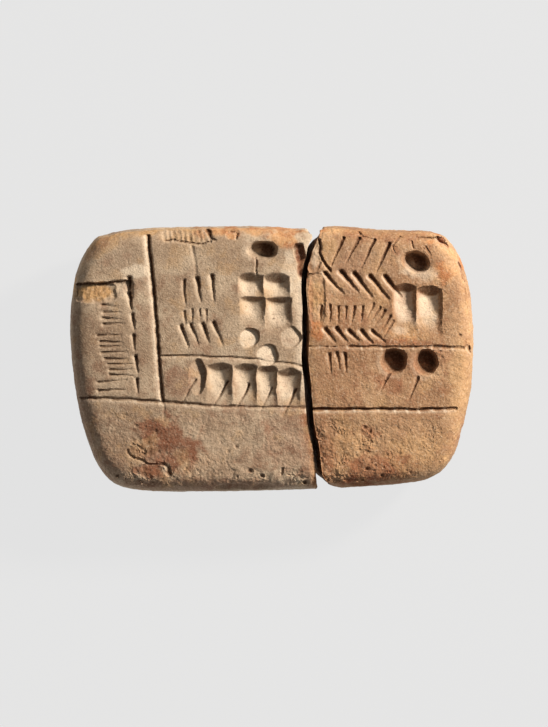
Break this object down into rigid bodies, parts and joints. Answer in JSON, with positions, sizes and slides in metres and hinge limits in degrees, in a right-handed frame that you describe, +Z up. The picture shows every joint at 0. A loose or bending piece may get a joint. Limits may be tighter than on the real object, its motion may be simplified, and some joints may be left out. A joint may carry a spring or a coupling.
{
  "type": "cuneiform tablet",
  "caption": "Small pillow-shaped clay tablet in two fragments that lie together across a narrow break, with ruled cases, round and scooped impressions and rows of strokes on its face.",
  "frame": {"origin": "middle of the tablet's box, on the surface that its back rests on", "axes": "+X along the length to the right end of the inscribed face, +Y to its top edge, +Z up out of the face"},
  "size_m": [0.0684, 0.0452, 0.016],
  "materials": {
    "left_clay": "dry matt clay, grey-brown with reddish stains",
    "right_clay": "dry matt clay, warm tan"
  },
  "bodies": {
    "root": {"left_fragment": "left_clay", "right_fragment": "right_clay"}
  },
  "joints": []
}
